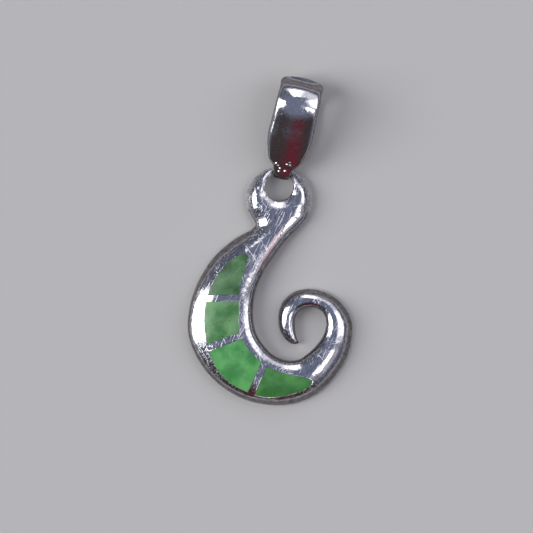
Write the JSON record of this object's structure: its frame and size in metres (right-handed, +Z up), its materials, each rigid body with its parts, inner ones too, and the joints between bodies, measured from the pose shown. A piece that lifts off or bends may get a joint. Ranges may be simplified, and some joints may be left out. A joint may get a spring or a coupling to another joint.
{
  "type": "greenstone and silver hook pendant",
  "caption": "Fish-hook pendant of polished silver with flush greenstone inlays and a loose domed bail for a cord, lying face up.",
  "frame": {"origin": "under the middle of the whole part's box, on the surface that it lies on", "axes": "+Z up out of the face, +Y towards the bail's top, +X towards the curled point"},
  "size_m": [0.0174, 0.0342, 0.0055],
  "materials": {
    "silver": "polished silver with fine wear scratches",
    "greenstone": "polished, flush with the metal"
  },
  "bodies": {
    "hook_body": {"hook": "silver", "stone_1": "greenstone", "stone_2": "greenstone", "stone_3": "greenstone", "stone_4": "greenstone"},
    "bail_body": {"bail": "silver"}
  },
  "joints": [
    {"name": "bail_swing", "type": "hinge", "parent": "hook_body", "child": "bail_body", "pos_m": [0.00125, 0.00747, 0.00107], "axis": [0.9744, -0.225, 0], "range_deg": [-95, 80]}
  ]
}
